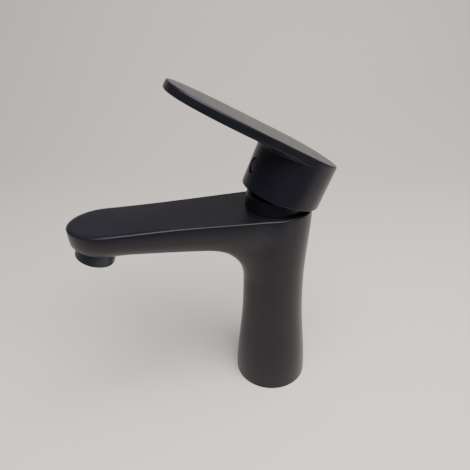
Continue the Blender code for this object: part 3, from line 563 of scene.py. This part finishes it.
def inner_bend(sizes, x, y, z):
    """Distance outside a section swept round the inner corner, and how near it is to mid-bend."""
    ahead, up = y + FAN_FORWARD, z - FAN_HEIGHT
    away = np.hypot(ahead, up)
    turn = np.arctan2(up, ahead)
    part = ease(turn / (pi / 2))
    middling = np.where((turn > 0) & (turn < pi / 2), np.sin(2 * turn), 0)

    def between(column, spout):
        return column + (spout - column) * part

    waist = float(column_radius(sizes, FAN_HEIGHT))
    centre = between(FAN_FORWARD, BODY_TOP - FAN_HEIGHT)
    depth = between(waist, float(spout_depth(sizes, FAN_FORWARD))) + sizes.corner_fill * middling
    width = between(waist, float(spout_half_width(sizes, FAN_FORWARD))) - sizes.bend_slimming * middling
    power = between(2.0, SECTION_POWER)
    toward = np.maximum(centre - away, 0)
    grade = np.maximum(((np.abs(x) / width) ** power + (toward / depth) ** power) ** (1 / power), SMALLEST)
    tube = np.hypot(x, toward) * (1 - 1 / grade)
    inside_fan = (turn >= 0) & (turn <= pi / 2) & (away > 2 * MM)
    return np.where(inside_fan, np.maximum(tube, away - centre), FAN_FORWARD), middling


def body_field(sizes, x, y, z):
    """Roughly the distance outside the casting, column and spout blended into one."""
    forward = np.maximum(-y, 0)
    below = BODY_TOP - z
    column = np.hypot(x, y) - column_radius(sizes, z)
    across = np.abs(x) / spout_half_width(sizes, forward)
    down = np.abs(below) / spout_depth(sizes, forward)
    grade = np.maximum((across**SECTION_POWER + down**SECTION_POWER) ** (1 / SECTION_POWER), SMALLEST)
    spout = np.hypot(x, below) * (1 - 1 / grade)
    spout = np.maximum(spout, y)
    arms = soft_union(column, spout, sizes.side_blend * ease((forward + 6 * MM) / (8 * MM)))
    bend, middling = inner_bend(sizes, x, y, z)
    blended = soft_union(arms, bend, sizes.side_blend * middling)
    return np.maximum(blended, z - BODY_TOP - ABOVE_TOP)


def body_stations(sizes):
    """Centre and back-or-up direction of each section, from the foot round to the nose."""
    stations = []
    for i in range(COLUMN_STATIONS):
        stations.append(((0, 0, FAN_HEIGHT * i / COLUMN_STATIONS), (0, 1, 0)))
    for i in range(BEND_STEPS + 1):
        turn = radians(90 * i / BEND_STEPS)
        out = (0, cos(turn), sin(turn))
        away = FAN_FORWARD * (1 - BEND_TUCK * ease(i / BEND_STEPS))
        centre = (0, -FAN_FORWARD + away * out[1], FAN_HEIGHT + away * out[2])
        stations.append((centre, out))
    nose_start = SPOUT_TIP - sizes.nose_length
    straight = nose_start - FAN_FORWARD
    forwards = [FAN_FORWARD + straight * i / STRAIGHT_STATIONS for i in range(1, STRAIGHT_STATIONS)]
    forwards += [nose_start + sizes.nose_length * sin(radians(turn)) for turn in range(0, 60, 6)]
    for turn in np.linspace(36, 87.5, 20):
        forwards.append(nose_start + sizes.nose_length * (1 - cos(radians(turn)) ** NOSE_POWER) ** (1 / NOSE_POWER))
    for forward in forwards:
        drop = 0.5 * float(spout_depth(sizes, forward))
        stations.append(((0, -forward, BODY_TOP - drop), (0, 0, 1)))
    return stations


def body_rows(sizes, points=112):
    """Where rays in each section leave the casting."""
    stations = body_stations(sizes)
    centres = np.array([centre for centre, _ in stations])[:, None, :]
    ups = np.array([up for _, up in stations])[:, None, :]
    turns = 2 * pi * np.arange(points) / points
    rays = np.cos(turns)[None, :, None] * np.array([1.0, 0, 0]) + np.sin(turns)[None, :, None] * ups
    near = np.zeros(rays.shape[:2])
    far = np.full(rays.shape[:2], RAY_REACH)
    for _ in range(RAY_HALVINGS):
        middle = (near + far) / 2
        spots = centres + rays * middle[..., None]
        outside = body_field(sizes, spots[..., 0], spots[..., 1], spots[..., 2]) > 0
        far = np.where(outside, middle, far)
        near = np.where(outside, near, middle)
    return centres + rays * near[..., None]


def slice_off(shape, point, normal, faces=None):
    """Remove what lies beyond a plane, and return the edges of the cut."""
    faces = list(shape.faces) if faces is None else faces
    edges = {edge for face in faces for edge in face.edges}
    verts = {vert for face in faces for vert in face.verts}
    made = bmesh.ops.bisect_plane(
        shape, geom=[*verts, *edges, *faces], dist=0.2 * MM, plane_co=point, plane_no=normal,
        use_snap_center=True, clear_outer=True,
    )
    return [item for item in made["geom_cut"] if isinstance(item, bmesh.types.BMEdge) and item.is_boundary]


def ordered(edges):
    """The vertices of a closed chain of edges, in order."""
    first = edges[0]
    chain = [first.verts[0], first.verts[1]]
    left = set(edges) - {first}
    while left:
        link = next((edge for edge in chain[-1].link_edges if edge in left), None)
        if link is None:
            break
        left.discard(link)
        chain.append(link.other_vert(chain[-1]))
    return chain[:-1] if chain[-1] is chain[0] else chain


def round_off(shape, chain, up, rise, insets, steps=6):
    """Carry an open edge up over a rounding, in by its inset, and close it with a flat face."""
    count = len(chain)
    spots = [vert.co.copy() for vert in chain]
    middle = sum(spots, Vector()) / count
    sides = [(spots[(i + 1) % count] - spots[i - 1]).cross(up).normalized() for i in range(count)]
    area = sum((spots[i] - middle).cross(spots[(i + 1) % count] - middle).dot(up) for i in range(count))
    turn = -1 if area > 0 else 1
    row = chain
    for i in range(1, steps + 1):
        bend = radians(90 * i / steps)
        fresh = []
        for spot, side, inset in zip(spots, sides, insets):
            fresh.append(shape.verts.new(spot + turn * side * inset * (1 - cos(bend)) + up * rise * sin(bend)))
        for j in range(count):
            k = (j + 1) % count
            shape.faces.new((row[j], row[k], fresh[k], fresh[j]))
        row = fresh
    shape.faces.new(row)


def body_skin(sizes):
    shape = bmesh.new()
    rows = body_rows(sizes)
    skin(shape, [[tuple(point) for point in row] for row in rows])
    bmesh.ops.remove_doubles(shape, verts=shape.verts, dist=WELD)
    bmesh.ops.recalc_face_normals(shape, faces=shape.faces)
    edge = sizes.top_edge
    chain = ordered(slice_off(shape, (0, 0, BODY_TOP - edge), (0, 0, 1)))
    nearing = [float(ease((-vert.co.y - NOSE_EDGE_FROM) / NOSE_EDGE_OVER)) for vert in chain]
    insets = [edge + (sizes.nose_edge - edge) * part for part in nearing]
    round_off(shape, chain, Vector((0, 0, 1)), edge, insets)

    down = OUTLET_FRAME.to_3x3() @ Vector((0, 0, -1))
    lip = OUTLET_FRAME @ Vector((0, 0, sizes.lip_drop))
    faces = [face for face in shape.faces if face.calc_center_median().y < lip.y + LIP_SURROUND]
    cut = slice_off(shape, lip, down, [face for face in faces if face.normal.z < FLAT_TOP_SLOPE])
    face = shape.faces.new(ordered(cut))
    bmesh.ops.bevel(
        shape, geom=list(face.edges), offset=sizes.lip_edge, segments=3, profile=0.5, affect="EDGES",
        clamp_overlap=True,
    )
    return object_from("body_shell", shape)


def body_cutters(sizes):
    """The bores that the hidden pieces sit in."""
    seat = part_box("cartridge_base")[0].z - TOUCH_GAP
    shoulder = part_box("cartridge_nut")[0].z - TOUCH_GAP - PAST
    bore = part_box("cartridge_housing")[1].x + HOUSING_CLEARANCE
    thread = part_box("cartridge_nut")[1].x + TOUCH_GAP
    hollow_floor = Vector(MOUNTS["stud_boss"]["pos_m"]).z
    over = BODY_TOP + PAST
    main = [(AXIS_POINT, over), (thread, over), (thread, shoulder), (bore, shoulder), (bore, seat), (AXIS_POINT, seat)]
    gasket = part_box("base_gasket")[1]
    within, beyond, roof = gasket.x - GASKET_GROOVE_WIDTH, gasket.x + TOUCH_GAP, gasket.z + TOUCH_GAP
    groove = [(within, roof), (beyond, roof), (beyond, -PAST), (within, -PAST)]
    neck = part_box("aerator_washer")[1].x + TOUCH_GAP
    drop = sizes.lip_drop
    entry, end = (0, -STUD_FORWARD, hollow_floor - PAST), (0, -STUD_FORWARD, hollow_floor + STUD_DEPTH)
    cutters = [
        solid_turned("cartridge_bore", main, steps=96),
        rod("foot_hollow", FOOT_HOLLOW_RADIUS, (0, 0, -PAST), (0, 0, hollow_floor), sides=96),
        turned("gasket_groove", groove, steps=96),
        rod("stud_hole", STUD_RADIUS, entry, end),
        rod("aerator_bore", neck, (0, 0, drop - PAST), (0, 0, drop + AERATOR_BORE_DEPTH), OUTLET_FRAME, sides=96),
    ]
    for name in ("hot_hose_port", "cold_hose_port"):
        x, y, _ = MOUNTS[name]["pos_m"]
        x = x - PORT_INWARD if x > 0 else x + PORT_INWARD
        cutters.append(rod("inlet", PORT_RADIUS, (x, y, hollow_floor - PAST), (x, y, seat + PAST)))
    return cutters


class MIXER_OT_body(bpy.types.Operator):
    """Build the fine casting of the column and the spout"""

    bl_idname = "mixer.body"
    bl_label = "Faucet body"

    def execute(self, context):
        sizes = context.scene.mixer_body
        body = body_skin(sizes)
        carve(body, body_cutters(sizes))
        shade(body, 38)
        present(body, "faucet_body", "faucet", "satin_black")
        return {"FINISHED"}


# ---------------------------------------------------------------- foot, collar and aerator


class MIXER_OT_gasket(bpy.types.Operator):
    """Build the rubber ring under the foot"""

    bl_idname = "mixer.gasket"
    bl_label = "Foot gasket"

    def execute(self, context):
        low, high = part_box("base_gasket")
        outer, inner, top = high.x, high.x - 3.1 * MM, high.z
        edge = 0.4 * MM
        profile = [(inner, top), (outer, top)]
        profile += arc((outer - edge, low.z + edge), edge, 0, -90, 4)
        profile += arc((inner + edge, low.z + edge), edge, -90, -180, 4)
        ring = turned("foot_gasket", profile, steps=96)
        shade(ring)
        present(ring, "base_gasket", "faucet", "black_rubber")
        return {"FINISHED"}


class MIXER_OT_collar(bpy.types.Operator):
    """Build the thin domed cover over the cartridge nut"""

    bl_idname = "mixer.collar"
    bl_label = "Collar"

    def execute(self, context):
        low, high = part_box("collar")
        base, bottom, top = high.x, low.z, high.z
        shoulder_radius, shoulder, mouth, wall = 18.1 * MM, top - 2.8 * MM, 10.5 * MM, 0.9 * MM
        width, rise = shoulder_radius - mouth, top - shoulder
        bends = [radians(90 - 7.5 * i) for i in range(13)]
        outside = [(mouth + width * cos(bend), shoulder + rise * sin(bend)) for bend in bends]
        outside += [(base, bottom + 0.3 * MM), (base - 0.1 * MM, bottom)]
        inside = [(base - wall, bottom)]
        for bend in reversed(bends):
            inside.append((mouth + (width - wall) * cos(bend), shoulder - wall + rise * sin(bend)))
        ring = turned("collar_cap", outside + inside, steps=144)
        shade(ring)
        present(ring, "collar", "faucet", "satin_black")
        return {"FINISHED"}


def aerator_shell(sizes):
    """Ring with a chamfered end and a fine groove under the boss."""
    top = sizes.lip_drop - TOUCH_GAP
    radius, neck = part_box("aerator_ring")[1].x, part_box("aerator_washer")[1].x
    bore = neck - 1.2 * MM
    lip_bore = bore - 0.6 * MM
    edge, lip = 0.7 * MM, 1.5 * MM
    profile = [(bore, top + 6.8 * MM), (neck, top + 6.8 * MM), (neck, top), (radius - 0.25 * MM, top)]
    profile += [(radius, top - 0.25 * MM)]
    profile += arc((radius - edge, edge), edge, 0, -90, 6)
    profile += [(lip_bore + 0.3 * MM, 0), (lip_bore, 0.3 * MM), (lip_bore, lip), (bore, lip)]
    return turned("aerator_shell", profile, OUTLET_FRAME, steps=144)


def aerator_comb():
    """Moulded flow straightener: a disc with a field of hexagonal cells."""
    radius, bottom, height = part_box("aerator_insert")[1].x, 1.8 * MM, 9.0 * MM
    comb = rod("aerator_comb", radius, (0, 0, bottom), (0, 0, bottom + height), OUTLET_FRAME, sides=96)
    pitch, cell = 2.1 * MM, 0.92 * MM
    shape = bmesh.new()
    for row in range(-4, 5):
        for column in range(-5, 6):
            across = pitch * (column + 0.5 * (row % 2))
            along = pitch * row * 0.866
            if across**2 + along**2 > (radius - 1.3 * MM) ** 2:
                continue
            place = OUTLET_FRAME @ Matrix.Translation((across, along, bottom + height / 2))
            place = place @ Matrix.Rotation(radians(30), 4, "Z")
            bmesh.ops.create_cone(
                shape, cap_ends=True, segments=6, radius1=cell, radius2=cell, depth=height + 2 * PAST, matrix=place,
            )
    carve(comb, [object_from("cells", shape)])
    return comb


class MIXER_OT_aerator(bpy.types.Operator):
    """Build the aerator's ring and its honeycomb insert"""

    bl_idname = "mixer.aerator"
    bl_label = "Aerator"

    def execute(self, context):
        ring = aerator_shell(context.scene.mixer_body)
        shade(ring)
        present(ring, "aerator_ring", "faucet", "aerator_black")
        comb = aerator_comb()
        shade(comb)
        present(comb, "aerator_insert", "faucet", "white_plastic")
        return {"FINISHED"}


# ---------------------------------------------------------------- lever

REAR_POINTS = 40
TIP_POINTS = 120
OUTLINE_SPOTS = 97  # on one side of the plate, from rear to tip
FILLET_STEPS = 12
WALL_ROWS = 72
TOP_INSET = 2.5 * MM  # the last row, on the flat of the plate


def paddle_outline(sizes):
    """Plan of the plate, from the rear round to the tip and back, evenly spaced."""
    radius = sizes.hub_radius
    rear = [radians(90 + turn) for turn in np.linspace(0, 90, REAR_POINTS)]
    half = [(radius * cos(turn), radius * sin(turn)) for turn in rear]
    length_ahead = sizes.paddle_reach - sizes.paddle_straight
    power = 2 / sizes.tip_power
    for turn in np.linspace(0, 90, TIP_POINTS):
        across, ahead = cos(radians(turn)), sin(radians(turn))
        half.append((
            -sizes.paddle_half_width * max(across, 0) ** power,
            -sizes.paddle_straight - length_ahead * ahead**power,
        ))
    left = evenly(half, OUTLINE_SPOTS)
    left[0, 0], left[-1, 0] = 0, 0
    right = left[-2:0:-1] * (-1, 1)
    return np.concatenate([left, right])


def outward(outline):
    along = np.roll(outline, -1, 0) - np.roll(outline, 1, 0)
    side = np.column_stack([along[:, 1], -along[:, 0]])
    side /= np.hypot(*side.T)[:, None]
    return side * np.sign((side * outline).sum(1).mean())


def evenly(path, count):
    """Points spaced evenly along a path of flat points, ends kept."""
    path = np.array(path)
    runs = np.concatenate([[0], np.cumsum(np.hypot(*np.diff(path, axis=0).T))])
    spots = np.linspace(0, runs[-1], count)
    return np.column_stack([np.interp(spots, runs, path[:, i]) for i in (0, 1)])


def handle_rows(sizes):
    """Rows of points in the hub's frame, from the boss inside, over the rim, to the top."""
    outline = paddle_outline(sizes)
    normals = outward(outline)
    pitch, thick = sizes.paddle_pitch, sizes.paddle_thickness
    angles = np.arctan2(outline[:, 1], outline[:, 0])
    rays = np.column_stack([np.cos(angles), np.sin(angles)])

    def plate(inset, height):
        """A row on the plate: inset from its outline, at a height over its top face.

        Its sides are square to its face at the tip, and run along the hub at the rear.
        """
        spots = outline - normals * np.asarray(inset).reshape(-1, 1)
        rise = np.broadcast_to(height, len(outline))
        ahead = ease(-outline[:, 1] / sizes.paddle_straight)
        across = spots[:, 0]
        back = spots[:, 1] * (1 - ahead * (1 - cos(pitch))) + rise * sin(pitch) * ahead
        up = sizes.paddle_top - (back - rise * sin(pitch) * ahead) * tan(pitch) + rise * cos(pitch)
        return np.column_stack([across, back, up])

    def ring(radius, height):
        heights = np.broadcast_to(height, len(rays))
        return np.column_stack([rays * radius, heights])

    radius, wall, edge = sizes.hub_radius, sizes.hub_wall, sizes.rim_edge
    rim = sizes.rim_height + rays[:, 1] * radius * tan(sizes.rim_tilt)
    inner, soft = radius - wall, 0.3 * MM
    rows = [ring(sizes.boss_radius * share_in, sizes.boss_bottom) for share_in in (0.45, 0.94)]
    rows.append(ring(sizes.boss_radius, sizes.boss_bottom + 0.5 * MM))
    rows.append(ring(sizes.boss_radius, sizes.ceiling - 1.5 * MM))
    rows.append(ring(sizes.boss_radius + 1.5 * MM, sizes.ceiling))
    rows.append(ring(inner - 2 * MM, sizes.ceiling))
    rows.append(ring(inner, sizes.ceiling - 2 * MM))
    rows += [ring(inner, rim + (sizes.ceiling - 2 * MM - rim) * part) for part in (0.66, 0.33)]
    rows += [ring(inner, rim + soft), ring(inner + soft, rim)]
    rows += [ring(radius - edge + edge * sin(turn), rim + edge - edge * cos(turn))
             for turn in [radians(step) for step in (0, 22.5, 45, 67.5)]]

    edge_row = plate(0, -thick)
    overhang = np.maximum(np.hypot(edge_row[:, 0], edge_row[:, 1]) - radius, 0)
    low_edge = np.minimum(sizes.under_edge, 0.5 * overhang)
    plate_foot = plate(low_edge, -thick)
    walls = []
    for i, ray in enumerate(rays):
        foot = plate_foot[i]
        slope = -ray[1] * tan(pitch)
        reach = float(np.hypot(foot[0], foot[1]))
        blend = sizes.fillet * overhang[i] / (overhang[i] + sizes.fillet)
        corner = foot[2] - slope * (reach - radius)
        start, finish = np.array([radius, corner - blend]), np.array([radius + blend, corner + blend * slope])
        path = [(radius, rim[i] + edge), tuple(start)]
        for part in np.linspace(0, 1, FILLET_STEPS + 1)[1:]:
            bend = (1 - part) ** 2 * start + 2 * part * (1 - part) * np.array([radius, corner]) + part**2 * finish
            path.append(tuple(bend))
        if reach > radius + blend:
            path.append((reach, foot[2]))
        else:
            path[-1] = (reach, foot[2])
        walls.append(evenly(path, WALL_ROWS))
    walls = np.array(walls)
    for i in range(WALL_ROWS):
        rows.append(np.column_stack([rays * walls[:, i, :1], walls[:, i, 1]]))
    for turn in [radians(step) for step in (22.5, 45, 67.5, 90)]:
        rows.append(plate(low_edge * (1 - sin(turn)), -thick + low_edge * (1 - cos(turn))))
    top = sizes.top_edge
    for turn in [radians(step) for step in (0, 18, 36, 54, 72, 90)]:
        rows.append(plate(top * (1 - cos(turn)), -top * (1 - sin(turn))))
    rows.append(plate(TOP_INSET, 0))
    return rows


def plug_frame(sizes):
    """Frame whose +Z runs out of the hub along the plug's axis."""
    return LEVER_FRAME @ Matrix.Translation((0, 0, sizes.plug_height)) @ Matrix.Rotation(radians(90), 4, "X")


def handle_cutters(sizes):
    half, low = sizes.stem_width / 2 + TOUCH_GAP, sizes.boss_bottom - PAST
    socket = bmesh.new()
    high = sizes.stem_top + TOUCH_GAP
    middle = Matrix.Translation((0, 0, (low + high) / 2))
    place = LEVER_FRAME @ middle @ Matrix.Diagonal((2 * half, 2 * half, high - low, 1))
    bmesh.ops.create_cube(socket, size=1, matrix=place)
    aside = plug_frame(sizes)
    radius, reach = sizes.plug_radius + TOUCH_GAP, sizes.hub_radius
    mouth = [
        (AXIS_POINT, reach + PAST), (radius + 0.3 * MM, reach + PAST), (radius + 0.2 * MM, reach - 0.3 * MM),
        (radius, reach - 0.7 * MM), (radius, reach - sizes.hub_wall - 2 * PAST),
        (AXIS_POINT, reach - sizes.hub_wall - 2 * PAST),
    ]
    screw = rod("screw_hole", sizes.screw_radius + TOUCH_GAP, (0, 0, 0), (0, 0, sizes.boss_radius + PAST), aside)
    return [object_from("stem_socket", socket), solid_turned("plug_hole", mouth, aside, steps=72), screw]


class MIXER_OT_handle(bpy.types.Operator):
    """Build the hub and paddle as one flowing casting"""

    bl_idname = "mixer.handle"
    bl_label = "Lever handle"

    def execute(self, context):
        sizes = context.scene.mixer_lever
        shape = bmesh.new()
        skin(shape, [[LEVER_FRAME @ Vector(spot) for spot in row] for row in handle_rows(sizes)])
        handle = object_from("lever_handle", shape)
        carve(handle, handle_cutters(sizes))
        shade(handle)
        present(handle, "handle", "lever", "satin_black")
        return {"FINISHED"}


class MIXER_OT_plug(bpy.types.Operator):
    """Build the glossy index plug over the set screw"""

    bl_idname = "mixer.plug"
    bl_label = "Index plug"

    def execute(self, context):
        sizes = context.scene.mixer_lever
        face = sizes.hub_radius - sizes.plug_setback
        radius, back, edge = sizes.plug_radius, face - sizes.plug_thickness, 0.5 * MM
        dome = 0.25 * MM
        profile = []
        for part in (0.05, 0.25, 0.45, 0.65, 0.8):
            profile.append((part * radius, face - dome * part**2))
        shoulder = face - dome
        profile += arc((radius - edge, shoulder - edge), edge, 80, 0, 4)
        profile += [(radius, back), (0.05 * radius, back)]
        plug = solid_turned("index_button", profile, plug_frame(sizes), steps=72)
        shade(plug)
        present(plug, "index_plug", "lever", "gloss_navy")
        return {"FINISHED"}


# ---------------------------------------------------------------- pieces kept from the model


class MIXER_OT_inner_pieces(bpy.types.Operator):
    """Give every node of the model the finish of its slot"""

    bl_idname = "mixer.inner_pieces"
    bl_label = "Cartridge and fixings"

    def execute(self, context):
        for part in frame["record"]["subparts"]:
            node = frame["nodes"][part["node"]]
            node.data.materials.clear()
            node.data.materials.append(finish_named(part["material_slot"]))
        return {"FINISHED"}


# ---------------------------------------------------------------- studio


SHEET_DROP = 0.2 * MM  # keeps the sheet clear of the foot
SENSOR_WIDTH = 36
AIR_COLOUR = (0.80, 0.86, 1.0, 1)
AIR_STRENGTH = 0.225


def backdrop(studio):
    """A paper sheet that runs under the object and curves up behind it.

    It ends just before the object, so that the upright faces mirror the dark room.
    """
    shape = bmesh.new()
    back, bend, half = studio.floor_back, studio.sweep_radius, studio.sheet_half_width
    path = [(studio.floor_front, 0), (0, 0), (-back * 0.5, 0)]
    for i in range(25):
        turn = radians(90 * i / 24)
        path.append((-back - bend * sin(turn), bend * (1 - cos(turn))))
    path.append((-back - bend, studio.sheet_height))
    rows = [[(x, side * half, z) for side in (-1, -0.33, 0.33, 1)] for x, z in path]
    skin(shape, rows, closed=False, start_cap=False, end_cap=False)
    sheet = object_from("backdrop", shape)
    sheet.data.shade_smooth()
    sheet.data.materials.append(finish_named("paper"))
    turn = Matrix.Rotation(studio.camera_heading - pi, 4, "Z")
    sheet.data.transform(Matrix.Translation((0, 0, -SHEET_DROP)) @ turn)


def soft_light(name, place, target, size, power, colour):
    data = bpy.data.lights.new(name, "AREA")
    data.shape = "RECTANGLE"
    data.size, data.size_y = size
    data.energy = power
    data.color = colour
    light = bpy.data.objects.new(name, data)
    light.location = place
    light.rotation_euler = (Vector(target) - Vector(place)).to_track_quat("-Z", "Y").to_euler()
    bpy.context.scene.collection.objects.link(light)


class MIXER_OT_studio(bpy.types.Operator):
    """Set the sheet, the light and the camera"""

    bl_idname = "mixer.studio"
    bl_label = "Studio"

    def execute(self, context):
        studio = context.scene.mixer_studio
        backdrop(studio)
        soft_light("overhead", (0.30, 0.07, 0.80), (0.08, -0.02, 0), (0.7, 0.7), 13.8, (1, 0.97, 0.945))
        world = bpy.data.worlds.new("studio_air")
        world.use_nodes = True
        air = world.node_tree.nodes["Background"]
        air.inputs["Color"].default_value = AIR_COLOUR
        air.inputs["Strength"].default_value = AIR_STRENGTH
        context.scene.world = world

        data = bpy.data.cameras.new("camera")
        data.lens = studio.camera_lens
        data.sensor_width = SENSOR_WIDTH
        data.clip_start = 0.01
        camera = bpy.data.objects.new("camera", data)
        heading, fall = studio.camera_heading, studio.camera_fall
        view = Vector((cos(heading) * cos(fall), sin(heading) * cos(fall), -sin(fall)))
        turn = view.to_track_quat("-Z", "Y") @ Quaternion((0, 0, 1), -studio.camera_roll)
        camera.rotation_mode = "QUATERNION"
        camera.rotation_quaternion = turn
        camera.location = studio.camera_place
        context.scene.collection.objects.link(camera)
        context.scene.camera = camera
        return {"FINISHED"}


# ---------------------------------------------------------------- sidebar and registration


class MIXER_PT_sidebar(bpy.types.Panel):
    """Buttons for each piece, with the sizes and colours"""

    bl_label = "Basin mixer"
    bl_idname = "MIXER_PT_sidebar"
    bl_space_type = "VIEW_3D"
    bl_region_type = "UI"
    bl_category = "Mixer"

    def draw(self, context):
        for operator in OPERATORS:
            self.layout.operator(operator.bl_idname)
        for group_name in GROUPS:
            group = getattr(context.scene, group_name)
            for name in group.__annotations__:
                self.layout.prop(group, name)


OPERATORS = (
    MIXER_OT_studio,
    MIXER_OT_inner_pieces,
    MIXER_OT_body,
    MIXER_OT_gasket,
    MIXER_OT_collar,
    MIXER_OT_aerator,
    MIXER_OT_handle,
    MIXER_OT_plug,
)
GROUPS = {
    "mixer_body": MixerBodySizes,
    "mixer_lever": MixerLeverSizes,
    "mixer_finishes": MixerFinishes,
    "mixer_studio": MixerStudio,
}


def register():
    for group in (*GROUPS.values(), *OPERATORS, MIXER_PT_sidebar):
        bpy.utils.register_class(group)
    for name, group in GROUPS.items():
        setattr(bpy.types.Scene, name, PointerProperty(type=group))


def unregister():
    for name in GROUPS:
        delattr(bpy.types.Scene, name)
    for group in (MIXER_PT_sidebar, *reversed(OPERATORS), *reversed(list(GROUPS.values()))):
        bpy.utils.unregister_class(group)


def main():
    register()
    for operator in OPERATORS:
        namespace, name = operator.bl_idname.split(".")
        getattr(getattr(bpy.ops, namespace), name)()
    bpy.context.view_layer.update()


if __name__ == "__main__":
    main()
